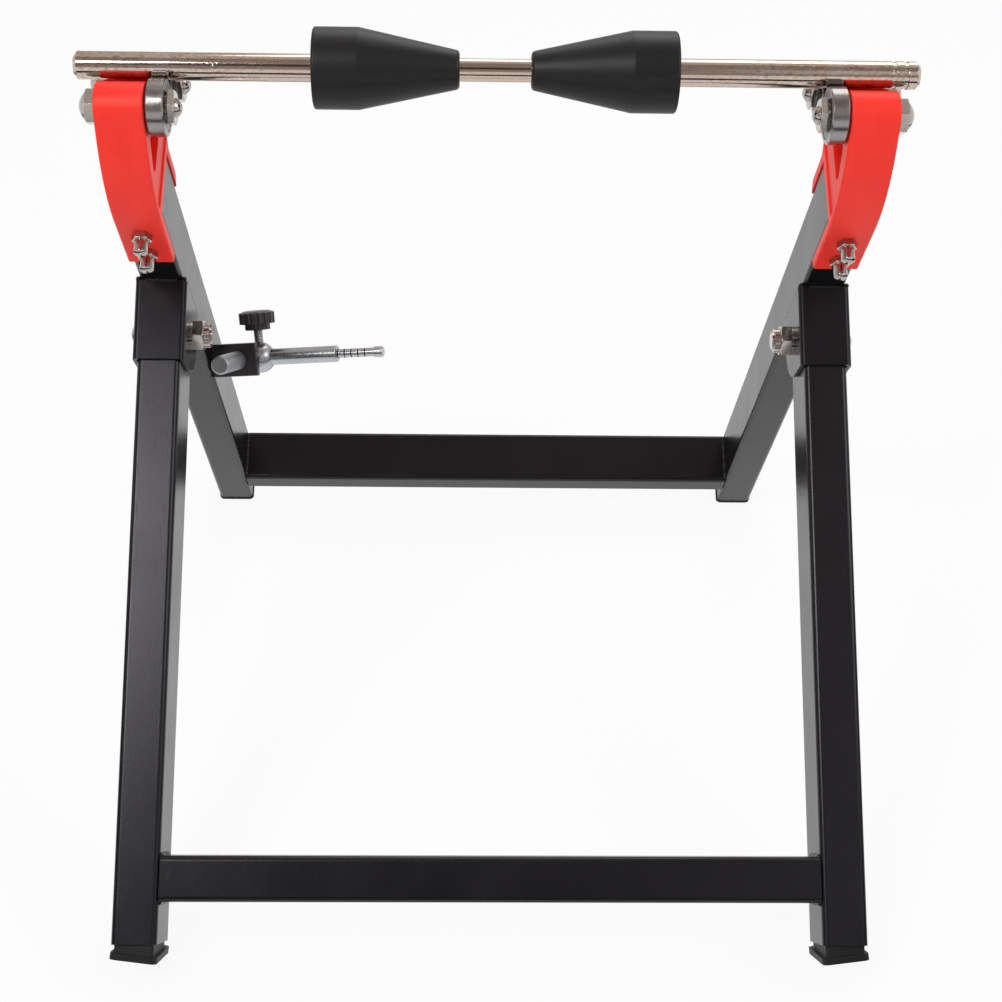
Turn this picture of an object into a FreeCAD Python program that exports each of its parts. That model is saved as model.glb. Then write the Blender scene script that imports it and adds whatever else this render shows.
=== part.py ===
"""Wheel truing stand: folding frame, forked arms, four bearings, shaft with two cones and a runout gauge."""
import math
import os

import FreeCAD
import Part

Vector = FreeCAD.Vector
Rotation = FreeCAD.Rotation
Placement = FreeCAD.Placement

xAxis = Vector(1, 0, 0)
yAxis = Vector(0, 1, 0)
zAxis = Vector(0, 0, 1)
farAway = 2000.0

# Frame: legs of flat-sided tube, all lengths in mm, angles in degrees from upright
halfWidth = 207.0
tubeSize = 25.0
legDepth = 38.0
tubeWall = 1.6
tubeCorner = 3.0
frontLean = 46.17
rearLean = 33.33
rearLegLength = 423.2
pivotFromTop = 100.3
pivotAhead = 22.8
frontBarLow = 22.6
rearBarLow = 21.9
rearBarHeight = 20.2

# End caps: the tubes are cut square, and the front caps sit a little askew in them
capThickness = 3.6
capLip = 0.5
frontCapDrop = 7.1
frontCapTip = 5.9
frontCapRoll = 6.8
floorFacet = 1.2
plugDepth = 14.0
plugSlack = 0.1

# Pivot brackets, bent from plate, and their bolts
plateThickness = 2.2
plateBend = 3.0
sideGap = 0.3
faceGap = 0.3
bracketDrop = 20.4
lugRadius = 21.5
pivotRadius = 5.0
runningGap = 0.05
largeHexFlats = 17.0
pivotHeadRadius = 8.0
pivotHeadHeight = 5.0
pivotWasherThickness = 2.0
pivotNutHeight = 6.6
pivotCollarRadius = 7.2
pivotCollarHeight = 3.2
pivotCollarNotches = 10
pivotNotchRadius = 0.9
boltTipBeyond = 1.4
hexChamferShare = 0.10

# Shaft, bearings and the arms that hold them
shaftBehindTop = 9.55
shaftOverTop = 78.95
shaftOverhang = 13.0
shaftRadius = 7.3
waistRadius = 6.0
waistHalfLength = 27.0
shaftChamfer = 1.8
ringCount = 2
ringGrooveFromEnd = 13.5
ringGroovePitch = 6.2
ringGrooveWidth = 2.0
ringGrooveDepth = 0.45
restGap = 0.3

bearingPitch = 31.6
bearingRadius = 15.0
bearingWidth = 9.0
outerRingWall = 2.4
innerRingRadius = 7.3
shieldThickness = 0.6
shieldRecess = 0.35
shieldGap = 0.5
ringChamfer = 0.6
ballRadius = 2.2
ballCount = 8
cageHalfWidth = 0.9
cageHalfDepth = 0.8
spacerThickness = 1.2
washerThickness = 0.8
axleBoltRadius = 5.0
axleHeadHeight = 5.6
headDomeHeight = 3.7
headDomeRadius = 7.9
axleNutHeight = 3.6
nutDomeHeight = 3.4
nutDomeRadius = 5.2

armWidth = 26.0
armBossRadius = 13.0
armFlange = 5.0
armRearFlange = 6.0
armFlangeDrop = 44.5
armRearDrop = 34.0
armRearTipCut = 6.0
armBowRadius = 100.0
armNotchDepth = 7.0
armWeb = 6.0
armTopSkin = 2.3
armBowSkin = 4.6
pocketFront = 14.5
pocketBack = 17.0
pocketRib = 20.0
pocketCorner = 4.5
recessDepth = 1.0
recessMargin = 3.0
recessRib = 5.0
recessCorner = 2.5
armEdgeRound = 1.2

studRadius = 3.0
studFirstUp = 10.7
studPitch = 18.6
studInside = 4.0
smallHexFlats = 10.0
capNutHexHeight = 4.0
capNutDomeRadius = 3.9
capNutLength = 13.0

# Cones
coneRadius = 21.0
coneRimRadius = 9.8
coneLength = 76.0
coneCylinder = 23.5
leftTipFromCentre = 20.4
rightTipFromCentre = 16.9
coneBackRound = 1.5
coneRecessRadius = 16.0
coneRecessDepth = 6.0

# Runout gauge on the left rear leg, in its own tilted frame
gaugeInward = 54.9
gaugeBelowPivot = 84.7
gaugeBehind = 3.2
gaugeYaw = -11.95
gaugePitch = -10.44
gaugeRoll = -23.35
tabThickness = 4.0
tabHeight = 21.4
tabReach = 60.0
tabCorner = 1.0
bossRadius = 10.1
bossX = -2.4
bossFlat = 0.5
holderRadius = 5.3
holderBack = 20.0
holderFront = 51.3
pinRadius = 2.85
pinLengthInside = 34.0
pinTravel = 24.0
pinReach = 31.2
pinTipLength = 6.0
pinTipRadius = 3.5
pinTipChamfer = 0.8
markCount = 5
markPitch = 4.6
markWidth = 0.7
markDepth = 0.25
markFromTip = 6.5
postRadius = 6.0
postLength = 30.0
postAcross = -12.5
postChamfer = 0.9
postBaseChamfer = 0.6
postSpigotRadius = 4.5
knobStudRadius = 2.9
knobRadius = 11.6
knobCollarRadius = 8.2
knobBottom = 18.2
knobCollarHeight = 4.0
knobHeadHeight = 8.2
knobCrown = 1.2
knobFlutes = 16
knobFluteRadius = 1.15
knobFluteShare = 1.02
studTipGap = 0.3

halfTurn = 180.0
fullTurn = 360.0
half = 0.5
hexSides = 6
frontSine = math.sin(math.radians(frontLean))
frontCosine = math.cos(math.radians(frontLean))
rearSine = math.sin(math.radians(rearLean))
rearCosine = math.cos(math.radians(rearLean))
legCentre = halfWidth - tubeSize * half
bracketHalf = tubeSize * half + sideGap + plateThickness

# Heights of the tubes' lower ends: the lowest edge of each cap is cut level by the facet's height
capTipRise = (legDepth * half + capLip) * math.tan(math.radians(frontCapTip))
capRollFall = (tubeSize * half + capLip) * math.tan(math.radians(frontCapRoll))
frontCapLow = frontCapDrop - capTipRise + capRollFall
frontEndHeight = (legDepth + capLip) * frontSine + frontCapLow * frontCosine - floorFacet
rearEndHeight = capThickness * rearCosine + capLip * rearSine - floorFacet

# The pivot follows the rear leg's top, and the front leg's length and the span on the floor follow the pivot
pivotUpRear = rearLegLength - pivotFromTop
pivotZ = rearEndHeight + pivotUpRear * rearCosine - pivotAhead * rearSine
pivotAlongFront = (pivotZ - frontEndHeight + legDepth * half * frontSine) / frontCosine
pivotY = pivotAlongFront * frontSine + legDepth * half * frontCosine
floorSpan = pivotY + pivotAhead * rearCosine + pivotUpRear * rearSine
frontPlace = Placement(Vector(0, 0, frontEndHeight), Rotation(xAxis, -frontLean))
rearPlace = Placement(Vector(0, floorSpan, rearEndHeight), Rotation(xAxis, rearLean))
pivotPoint = frontPlace.multVec(Vector(0, legDepth * half, pivotAlongFront))
legTop = rearPlace.multVec(Vector(0, 0, rearLegLength))
shaftY = legTop.y + shaftBehindTop
shaftZ = legTop.z + shaftOverTop
shaftEnd = halfWidth + shaftOverhang
axleRise = math.sqrt((bearingRadius + shaftRadius + restGap) ** 2 - (bearingPitch * half) ** 2)
axleZ = shaftZ - axleRise
frontAxleY = shaftY - bearingPitch * half
rearAxleY = shaftY + bearingPitch * half
holderY = tabThickness + bossRadius - bossFlat
gaugeSpot = rearPlace.multVec(Vector(gaugeInward - halfWidth, gaugeBehind, pivotUpRear - gaugeBelowPivot))
gaugePlace = Placement(gaugeSpot, Rotation(gaugeYaw, gaugePitch, gaugeRoll))


def rearPoint(along, behind):
    """A point of the side view, measured up the rear leg and back from its lower face."""
    return rearPlace.multVec(Vector(0, behind, along))


def frontPoint(along, behind):
    """A point of the side view, measured up the front leg and back from its front face."""
    return frontPlace.multVec(Vector(0, behind, along))


def moved(shape, place):
    result = shape.copy()
    result.Placement = place.multiply(result.Placement)
    return result


def roundedFace(width, depth, corner, centreX, centreY):
    """A flat rectangle with rounded corners."""
    box = Part.makeBox(width, depth, tubeSize)
    upright = [edge for edge in box.Edges if abs(edge.tangentAt(edge.FirstParameter).z) > half]
    box = box.makeFillet(corner, upright)
    bottom = [face for face in box.Faces if face.normalAt(0, 0).z < -half][0]
    face = Part.Face(bottom.OuterWire)
    face.translate(Vector(centreX - width * half, centreY - depth * half, 0))
    return face


def hollowTube(width, depth, length):
    """Square or flat tube along Z, its section standing on the X axis."""
    outer = roundedFace(width, depth, tubeCorner, 0, depth * half)
    innerWidth = width - tubeWall - tubeWall
    innerDepth = depth - tubeWall - tubeWall
    inner = roundedFace(innerWidth, innerDepth, tubeCorner - tubeWall, 0, depth * half)
    solid = outer.extrude(Vector(0, 0, length))
    hollow = inner.extrude(Vector(0, 0, length))
    return solid.cut(hollow)


def slab(low, high):
    """A wide flat block between two heights."""
    block = Part.makeBox(farAway, farAway, high - low)
    block.translate(Vector(-farAway * half, -farAway * half, low))
    return block


def rod(radius, length, start, direction):
    return Part.makeCylinder(radius, length, start, direction)


def turned(points, axisPoint, axis):
    """A solid of revolution from (along, radius) pairs about an axis."""
    wire = Part.makePolygon([Vector(along, radius, 0) for along, radius in points + [points[0]]])
    body = Part.Face(wire).revolve(Vector(0, 0, 0), xAxis, fullTurn)
    body.Placement = Placement(axisPoint, Rotation(xAxis, axis))
    return body


def hexPrism(flats, height, start, direction):
    """A hexagon along a direction, its outer corners chamfered as on a nut."""
    radius = flats * half / math.cos(math.radians(halfTurn / hexSides))
    corners = []
    for number in range(hexSides):
        turn = math.radians(fullTurn / hexSides * number)
        corners.append(Vector(radius * math.cos(turn), radius * math.sin(turn), 0))
    prism = Part.Face(Part.makePolygon(corners + [corners[0]])).extrude(Vector(0, 0, height))
    bevel = height * hexChamferShare + radius - flats * half
    points = [(0, 0), (0, radius), (height - bevel * half, radius), (height, radius - bevel), (height, 0)]
    prism = prism.common(turned(points, Vector(0, 0, 0), zAxis))
    prism.Placement = Placement(start, Rotation(zAxis, direction))
    return prism


def dome(baseRadius, height, start, direction):
    """A low ball cap that closes a nut or a bolt head."""
    ballSize = (baseRadius * baseRadius + height * height) / (height + height)
    ball = Part.makeSphere(ballSize, Vector(0, 0, height - ballSize))
    core = Part.makeCylinder(baseRadius, height + height, Vector(0, 0, 0), zAxis)
    cap = ball.common(core)
    cap.Placement = Placement(start, Rotation(zAxis, direction))
    return cap


def profileSolid(edges, low, high):
    """A side-view outline in the YZ plane, drawn out between two X values."""
    wire = Part.Wire(Part.__sortEdges__(edges))
    face = Part.Face(wire)
    solid = face.extrude(Vector(high - low, 0, 0))
    solid.translate(Vector(low, 0, 0))
    return solid


def lines(points):
    return [Part.makeLine(first, second) for first, second in zip(points[:-1], points[1:])]


def arcAbout(centre, radius, startAngle, midAngle, endAngle):
    """An arc in the YZ plane through three angles, counted from +Y towards +Z."""
    spots = []
    for angle in (startAngle, midAngle, endAngle):
        turn = math.radians(angle)
        spots.append(centre + Vector(0, radius * math.cos(turn), radius * math.sin(turn)))
    return Part.Arc(*spots).toShape()


def frontLeg(side):
    """Front leg: square cut at the foot, full round at the pivot, bored for the bolt."""
    tube = hollowTube(tubeSize, legDepth, pivotAlongFront + legDepth)
    tube.translate(Vector(side * legCentre, 0, 0))
    tube = moved(tube, frontPlace)
    start = pivotPoint - Vector(halfWidth + tubeSize, 0, 0)
    keep = rod(legDepth * half, farAway, start, xAxis)
    below = Part.makeBox(farAway, farAway, farAway)
    below.translate(Vector(-farAway * half, -farAway * half, pivotAlongFront - farAway))
    tube = tube.common(moved(below, frontPlace).fuse(keep))
    return tube.cut(rod(pivotRadius + runningGap, farAway, start, xAxis))


def rearLeg(side):
    """Rear leg: both ends cut square, two stud holes in its lower face."""
    tube = hollowTube(tubeSize, legDepth, rearLegLength)
    tube.translate(Vector(side * legCentre, 0, 0))
    tube = moved(tube, rearPlace)
    for along in studHeights():
        start = rearPoint(along, -tubeSize) + Vector(side * legCentre, 0, 0)
        tube = tube.cut(rod(studRadius, tubeSize + tubeWall + tubeCorner, start, rearBehind()))
    return tube


def rearBehind():
    return rearPoint(0, 1) - rearPoint(0, 0)


def rearUp():
    return rearPoint(1, 0) - rearPoint(0, 0)


def plateAcross(centre, width):
    """A wide upright plate between two X values."""
    plate = Part.makeBox(width, farAway, farAway)
    plate.translate(Vector(centre - width * half, -farAway * half, -farAway * half))
    return plate


def studHeights():
    first = rearLegLength - armFlangeDrop + studFirstUp
    return [first, first + studPitch]


def footCap(side, place, drop, tip, roll):
    """Moulded cap: a flange below the tube's end, a plug up inside it, and a level facet on the floor."""
    width = tubeSize + capLip + capLip
    depth = legDepth + capLip + capLip
    lean = Rotation(yAxis, -side * roll).multiply(Rotation(xAxis, tip))
    spot = Placement(Vector(side * legCentre, legDepth * half, -drop), lean)
    flange = roundedFace(width, depth, tubeCorner + capLip, 0, 0).extrude(Vector(0, 0, capThickness))
    flange = moved(flange, spot)
    taken = tubeWall + tubeWall + plugSlack + plugSlack
    corner = tubeCorner - tubeWall
    inner = roundedFace(tubeSize - taken, legDepth - taken, corner, side * legCentre, legDepth * half)
    plug = inner.extrude(Vector(0, 0, tubeSize + plugDepth))
    plug.translate(Vector(0, 0, -tubeSize))
    under = moved(slab(-farAway, capThickness * half), spot)
    body = flange.fuse(plug.cut(under)).removeSplitter()
    return moved(body, place).common(slab(0, farAway))


def crossbar(low, height, depth, place):
    """Tube between the legs, its front flush with theirs."""
    span = legCentre + legCentre - tubeSize
    tube = hollowTube(height, depth, span)
    tube.rotate(Vector(0, 0, 0), yAxis, halfTurn * half)
    tube.translate(Vector(-span * half, 0, low + height * half))
    return moved(tube, place)


def pivotBracket(side):
    """Bent U of plate: front wall as the stop, two ears to the rear leg, round lug about the pivot."""
    outerWidth = bracketHalf + bracketHalf
    innerWidth = outerWidth - plateThickness - plateThickness
    depth = farAway * half
    centre = side * legCentre
    innerBend = plateBend - plateThickness
    outer = roundedFace(outerWidth, depth, plateBend, centre, depth * half - faceGap - plateThickness)
    inner = roundedFace(innerWidth, depth, innerBend, centre, depth * half - faceGap)
    channel = outer.cut(inner).extrude(Vector(0, 0, farAway))
    channel = moved(channel, frontPlace)
    wallLine = -faceGap - plateThickness
    foot = frontPoint(pivotAlongFront - bracketDrop, wallLine)
    upDirection = frontPoint(1, wallLine) - frontPoint(0, wallLine)
    faceNormal = rearBehind()
    reach = faceNormal.dot(rearPoint(0, 0) - foot) / faceNormal.dot(upDirection)
    top = foot + upDirection * reach
    ahead = faceNormal.dot(rearPoint(0, 0) - pivotPoint)
    lugLow = pivotPoint - rearUp() * lugRadius
    onLeg = lugLow + faceNormal * ahead
    frontLow = pivotPoint - upDirection * lugRadius
    middle = pivotPoint - (rearUp() + upDirection).normalize() * lugRadius
    arc = Part.Arc(lugLow, middle, frontLow).toShape()
    edges = lines([foot, top, onLeg, lugLow]) + [arc] + lines([frontLow, foot])
    ears = profileSolid(edges, side * legCentre - bracketHalf, side * legCentre + bracketHalf)
    bracket = channel.common(ears)
    start = pivotPoint - Vector(halfWidth + tubeSize, 0, 0)
    return bracket.cut(rod(pivotRadius + runningGap, farAway, start, xAxis))


def pivotBolt(side):
    """Round-headed bolt, head outside, tip just past the lock nut."""
    start = pivotPoint + Vector(side * (legCentre + bracketHalf), 0, 0)
    inward = Vector(-side, 0, 0)
    grip = bracketHalf + bracketHalf + pivotWasherThickness
    shank = rod(pivotRadius, grip + pivotNutHeight + pivotCollarHeight + boltTipBeyond, start, inward)
    return shank.fuse(dome(pivotHeadRadius, pivotHeadHeight, start, -inward)).removeSplitter()


def pivotWasher(side):
    start = pivotPoint + Vector(side * (legCentre - bracketHalf), 0, 0)
    inward = Vector(-side, 0, 0)
    washer = rod(largeHexFlats * half, pivotWasherThickness, start, inward)
    return washer.cut(rod(pivotRadius, tubeSize, start, inward))


def pivotNut(side):
    """Lock nut with a notched round collar."""
    inward = Vector(-side, 0, 0)
    start = pivotPoint + Vector(side * (legCentre - bracketHalf), 0, 0) + inward * pivotWasherThickness
    nut = hexPrism(largeHexFlats, pivotNutHeight, start, inward)
    collarStart = start + inward * pivotNutHeight
    collar = rod(pivotCollarRadius, pivotCollarHeight, collarStart, inward)
    notches = []
    for number in range(pivotCollarNotches):
        turn = math.radians(fullTurn / pivotCollarNotches * number)
        spot = Vector(0, math.cos(turn), math.sin(turn)) * pivotCollarRadius
        notches.append(rod(pivotNotchRadius, pivotCollarHeight, collarStart + spot, inward))
    collar = collar.cut(Part.makeCompound(notches))
    return nut.fuse(collar).cut(rod(pivotRadius, tubeSize, start, inward)).removeSplitter()


def armOutline():
    """The arm from the side: front bow, two bearing bosses, notch between them, socket for the leg."""
    frontBoss = Vector(0, frontAxleY, axleZ)
    rearBoss = Vector(0, rearAxleY, axleZ)
    low = rearPoint(rearLegLength - armFlangeDrop, -armFlange)
    lowInner = rearPoint(rearLegLength - armFlangeDrop, 0)
    endFront = rearPoint(rearLegLength, 0)
    endBack = rearPoint(rearLegLength, legDepth)
    backTip = rearPoint(rearLegLength - armRearDrop, legDepth)
    backOut = rearPoint(rearLegLength - armRearDrop + armRearTipCut, legDepth + armRearFlange)
    upDirection = rearUp()
    frontLine = frontAxleY - armBossRadius
    corner = low + upDirection * ((frontLine - low.y) / upDirection.y)
    tangent = armBowRadius * math.tan(math.radians(rearLean) * half)
    bowLow = corner - upDirection * tangent
    bowHigh = corner + Vector(0, 0, tangent)
    bowCentre = bowHigh + Vector(0, armBowRadius, 0)
    spoke = (bowLow + bowHigh) * half - bowCentre
    bowMiddle = bowCentre + spoke.normalize() * armBowRadius
    backLine = rearAxleY + armBossRadius
    backCorner = backOut + upDirection * ((backLine - backOut.y) / upDirection.y)
    notchRadius = (bearingPitch - armBossRadius - armBossRadius) * half
    notchCentre = Vector(0, shaftY, axleZ - armNotchDepth)
    edges = lines([backCorner, backOut, backTip, endBack, endFront, lowInner, low, bowLow])
    edges.append(Part.Arc(bowLow, bowMiddle, bowHigh).toShape())
    edges += lines([bowHigh, frontBoss - Vector(0, armBossRadius, 0)])
    edges.append(arcAbout(frontBoss, armBossRadius, halfTurn, halfTurn * half, 0))
    edges += lines([frontBoss + Vector(0, armBossRadius, 0), notchCentre - Vector(0, notchRadius, 0)])
    edges.append(arcAbout(notchCentre, notchRadius, halfTurn, halfTurn + halfTurn * half, fullTurn))
    edges += lines([notchCentre + Vector(0, notchRadius, 0), rearBoss - Vector(0, armBossRadius, 0)])
    edges.append(arcAbout(rearBoss, armBossRadius, halfTurn, halfTurn * half, 0))
    edges += lines([rearBoss + Vector(0, armBossRadius, 0), backCorner])
    return edges, bowCentre


def armPocket(bowCentre, front, back, rib, corner, bowSkin):
    """A recess below the fork's branches: walls in front and behind, a rib over the leg's end."""
    frontLine = frontAxleY - armBossRadius + front
    backLine = rearAxleY + armBossRadius - back
    topLine = axleZ - armBossRadius - armTopSkin
    ribDirection = rearBehind()
    ribStart = rearPoint(rearLegLength + rib, 0)
    lowBack = ribStart + ribDirection * ((backLine - ribStart.y) / ribDirection.y)
    lowFront = ribStart + ribDirection * ((frontLine - ribStart.y) / ribDirection.y)
    points = [lowFront, Vector(0, frontLine, topLine), Vector(0, backLine, topLine), lowBack, lowFront]
    deep = profileSolid(lines(points), -farAway * half, farAway * half)
    inside = rod(armBowRadius - bowSkin, farAway, bowCentre - Vector(farAway * half, 0, 0), xAxis)
    deep = deep.common(inside)
    upright = [edge for edge in deep.Edges if edge.Length > farAway * half]
    return deep.makeFillet(corner, upright)


def arm(side):
    """Moulded arm: forked outline, pocket recessed from both sides to a web, bored for bolts and studs."""
    edges, bowCentre = armOutline()
    centre = side * legCentre
    body = profileSolid(edges, centre - armWidth * half, centre + armWidth * half)
    longEdges = []
    for edge in body.Edges:
        spot = edge.valueAt((edge.FirstParameter + edge.LastParameter) * half)
        onSide = abs(abs(spot.x - centre) - armWidth * half) < tubeWall * half
        ahead = rearBehind().dot(spot - rearPoint(0, 0))
        level = rearUp().dot(spot - rearPoint(0, 0))
        onLeg = -sideGap < ahead < legDepth + sideGap and level < rearLegLength + tubeWall
        if onSide and not onLeg:
            longEdges.append(edge)
    body = body.makeFillet(armEdgeRound, longEdges)
    pocket = armPocket(bowCentre, pocketFront, pocketBack, pocketRib, pocketCorner, armBowSkin)
    recess = armPocket(bowCentre, recessMargin, recessMargin, recessRib, recessCorner, recessMargin)
    body = body.cut(pocket.cut(plateAcross(centre, armWeb)))
    body = body.cut(recess.cut(plateAcross(centre, armWidth - recessDepth - recessDepth)))
    for axleY in (frontAxleY, rearAxleY):
        start = Vector(centre - tubeSize, axleY, axleZ)
        body = body.cut(rod(axleBoltRadius, tubeSize + tubeSize, start, xAxis))
    for along in studHeights():
        start = rearPoint(along, -tubeSize) + Vector(centre, 0, 0)
        body = body.cut(rod(studRadius, tubeSize + half, start, rearBehind()))
    return body


def armStuds(side):
    """Two studs fixed in the rear leg's lower wall."""
    studs = []
    for along in studHeights():
        start = rearPoint(along, tubeWall + studInside) + Vector(side * legCentre, 0, 0)
        length = armFlange + tubeWall + studInside + capNutLength * half
        studs.append(rod(studRadius, length, start, -rearBehind()))
    return Part.makeCompound(studs)


def armNuts(side):
    """Cap nuts that clamp the arm's lower end."""
    nuts = []
    outward = -rearBehind()
    for along in studHeights():
        start = rearPoint(along, -armFlange) + Vector(side * legCentre, 0, 0)
        nut = hexPrism(smallHexFlats, capNutHexHeight, start, outward)
        neckLength = capNutLength - capNutHexHeight - capNutDomeRadius * half
        neck = rod(capNutDomeRadius, neckLength, start + outward * capNutHexHeight, outward)
        crownStart = start + outward * (capNutLength - capNutDomeRadius * half)
        nut = nut.fuse(neck).fuse(dome(capNutDomeRadius, capNutDomeRadius * half, crownStart, outward))
        nut = nut.removeSplitter().cut(rod(studRadius, capNutLength * half, start, outward))
        nuts.append(nut)
    return Part.makeCompound(nuts)


def axles():
    """Side and place of the four bearings."""
    places = []
    for side in (-1, 1):
        places.append((side, "front", frontAxleY))
        places.append((side, "rear", rearAxleY))
    return places


def innerFace(side):
    return side * (legCentre - armWidth * half)


def bearingCentre(side, axleY):
    return Vector(innerFace(side) - side * (spacerThickness + bearingWidth * half), axleY, axleZ)


def bearingRing(side, axleY):
    """Outer ring with both shields, turned as one channel."""
    edge = bearingWidth * half
    bore = bearingRadius - outerRingWall
    lip = innerRingRadius + shieldGap
    out = edge - shieldRecess
    back = out - shieldThickness
    points = [(-edge, bearingRadius - ringChamfer), (-edge + ringChamfer, bearingRadius)]
    points += [(edge - ringChamfer, bearingRadius), (edge, bearingRadius - ringChamfer), (edge, bore)]
    points += [(out, bore), (out, lip), (back, lip), (back, bore)]
    points += [(-back, bore), (-back, lip), (-out, lip), (-out, bore), (-edge, bore)]
    return turned(points, bearingCentre(side, axleY), xAxis)


def innerRing(side, axleY):
    edge = bearingWidth * half
    points = [(-edge, axleBoltRadius), (-edge, innerRingRadius), (edge, innerRingRadius), (edge, axleBoltRadius)]
    return turned(points, bearingCentre(side, axleY), xAxis)


def ballSet(side, axleY):
    """Eight balls joined by a thin cage."""
    centre = bearingCentre(side, axleY)
    track = (innerRingRadius + bearingRadius - outerRingWall) * half
    points = [(-cageHalfWidth, track - cageHalfDepth), (-cageHalfWidth, track + cageHalfDepth)]
    points += [(cageHalfWidth, track + cageHalfDepth), (cageHalfWidth, track - cageHalfDepth)]
    cage = turned(points, centre, xAxis)
    balls = []
    for number in range(ballCount):
        turn = math.radians(fullTurn / ballCount * number)
        spot = centre + Vector(0, track * math.cos(turn), track * math.sin(turn))
        balls.append(Part.makeSphere(ballRadius, spot))
    return cage.multiFuse(balls)


def ringSpacers():
    """Thin rings on both sides of every inner ring."""
    rings = []
    for side, name, axleY in axles():
        face = Vector(innerFace(side), axleY, axleZ)
        inward = Vector(-side, 0, 0)
        near = rod(innerRingRadius, spacerThickness, face, inward)
        farFace = face + inward * (spacerThickness + bearingWidth)
        far = rod(innerRingRadius, washerThickness, farFace, inward)
        for ring in (near, far):
            rings.append(ring.cut(rod(axleBoltRadius, armWidth, face, inward)))
    return Part.makeCompound(rings)


def nutFace(side, axleY):
    return Vector(innerFace(side) - side * (spacerThickness + bearingWidth + washerThickness), axleY, axleZ)


def axleBolts():
    """Bolts with domed hex heads on the arms' outer sides."""
    bolts = []
    for side, name, axleY in axles():
        outward = Vector(side, 0, 0)
        start = Vector(side * (legCentre + armWidth * half), axleY, axleZ)
        length = (start - nutFace(side, axleY)).Length + axleNutHeight
        bolt = rod(axleBoltRadius, length, start, -outward)
        bolt = bolt.fuse(hexPrism(largeHexFlats, axleHeadHeight, start, outward))
        domeStart = start + outward * axleHeadHeight
        bolt = bolt.fuse(dome(headDomeRadius, headDomeHeight, domeStart, outward))
        bolts.append(bolt.removeSplitter())
    return Part.makeCompound(bolts)


def axleNuts():
    """Cap nuts on the inner ends of the bearing bolts."""
    nuts = []
    for side, name, axleY in axles():
        inward = Vector(-side, 0, 0)
        start = nutFace(side, axleY)
        nut = hexPrism(largeHexFlats, axleNutHeight, start, inward)
        nut = nut.fuse(dome(nutDomeRadius, nutDomeHeight, start + inward * axleNutHeight, inward))
        nuts.append(nut.removeSplitter().cut(rod(axleBoltRadius, axleNutHeight, start, inward)))
    return Part.makeCompound(nuts)


def shaft():
    """Balancing shaft: thin waist, chamfered ends, two rings turned near one end."""
    end = shaftEnd
    bottom = shaftRadius - ringGrooveDepth
    points = [(-end, 0), (-end, shaftRadius - shaftChamfer), (-end + shaftChamfer, shaftRadius)]
    points += [(-waistHalfLength, shaftRadius), (-waistHalfLength, waistRadius)]
    points += [(waistHalfLength, waistRadius), (waistHalfLength, shaftRadius)]
    for number in range(ringCount):
        low = end - ringGrooveFromEnd + ringGroovePitch * number - ringGrooveWidth * half
        high = low + ringGrooveWidth
        points += [(low, shaftRadius), (low, bottom), (high, bottom), (high, shaftRadius)]
    points += [(end - shaftChamfer, shaftRadius), (end, shaftRadius - shaftChamfer), (end, 0)]
    return turned(points, Vector(0, shaftY, shaftZ), xAxis)


def cone(side, tip):
    """Centring cone: short cylinder, long taper, rounded rim, recess in its back."""
    bore = shaftRadius + runningGap
    back = tip + coneLength
    points = [(tip, bore), (tip, coneRimRadius), (back - coneCylinder, coneRadius), (back, coneRadius)]
    points += [(back, coneRecessRadius), (back - coneRecessDepth, coneRecessRadius), (back - coneRecessDepth, bore)]
    axis = Vector(side, 0, 0)
    body = turned(points, Vector(0, shaftY, shaftZ), axis)
    heel = [edge for edge in body.Edges if onCircle(edge, back, coneRadius)]
    body = body.makeFillet(coneBackRound, heel)
    rim = [edge for edge in body.Edges if onCircle(edge, tip, coneRimRadius)]
    return body.makeFillet(coneRimRadius - bore - runningGap, rim)


def onCircle(edge, distance, radius):
    """True for a full circle about the shaft at a distance from the middle."""
    curve = edge.Curve
    if not hasattr(curve, "Radius"):
        return False
    return abs(curve.Radius - radius) < runningGap and abs(abs(curve.Center.x) - distance) < runningGap


def gaugeTab():
    """Flat tab that faces the viewer, welded to the leg's inner side, bored for the post."""
    tab = Part.makeBox(tabReach, tabThickness, tabHeight)
    tab.translate(Vector(-tabReach, 0, -tabHeight * half))
    tab = tab.makeFillet(tabCorner, [edge for edge in tab.Edges if isFrontEdge(edge)])
    spigot = rod(postSpigotRadius, tabReach, Vector(postAcross, -tabThickness, 0), yAxis)
    tab = moved(tab.cut(spigot), gaugePlace)
    room = Part.makeBox(farAway, farAway, farAway)
    room.translate(Vector(-halfWidth + tubeSize, 0, -farAway * half))
    return tab.common(room)


def isFrontEdge(edge):
    """True for the long and the outer edges of the tab's front face."""
    spot = edge.CenterOfMass
    onFront = abs(spot.y) < runningGap
    return onFront and spot.x > runningGap - tabReach


def gaugeBoss():
    """Ball behind the tab, its flat seated on it, bored for the holder and the knob's stud."""
    centre = Vector(bossX, holderY, 0)
    ball = Part.makeSphere(bossRadius, centre)
    room = Part.makeBox(farAway, tabReach, farAway)
    room.translate(Vector(-farAway * half, tabThickness, -farAway * half))
    boss = ball.common(room)
    boss = boss.cut(rod(holderRadius + runningGap, farAway, centre - xAxis * tabReach, xAxis))
    boss = boss.cut(rod(knobStudRadius + runningGap, tabReach, centre, zAxis))
    return moved(boss, gaugePlace)


def gaugePost():
    """Round post that points to the front, its thinner spigot pressed through the tab."""
    length = postLength + tabThickness
    points = [(0, 0), (0, postSpigotRadius), (tabThickness, postSpigotRadius)]
    points += [(tabThickness, postRadius - postBaseChamfer), (tabThickness + postBaseChamfer, postRadius)]
    points += [(length - postChamfer, postRadius)]
    points += [(length, postRadius - postChamfer), (length, 0)]
    post = turned(points, Vector(postAcross, tabThickness, 0), -yAxis)
    return moved(post, gaugePlace)


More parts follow.
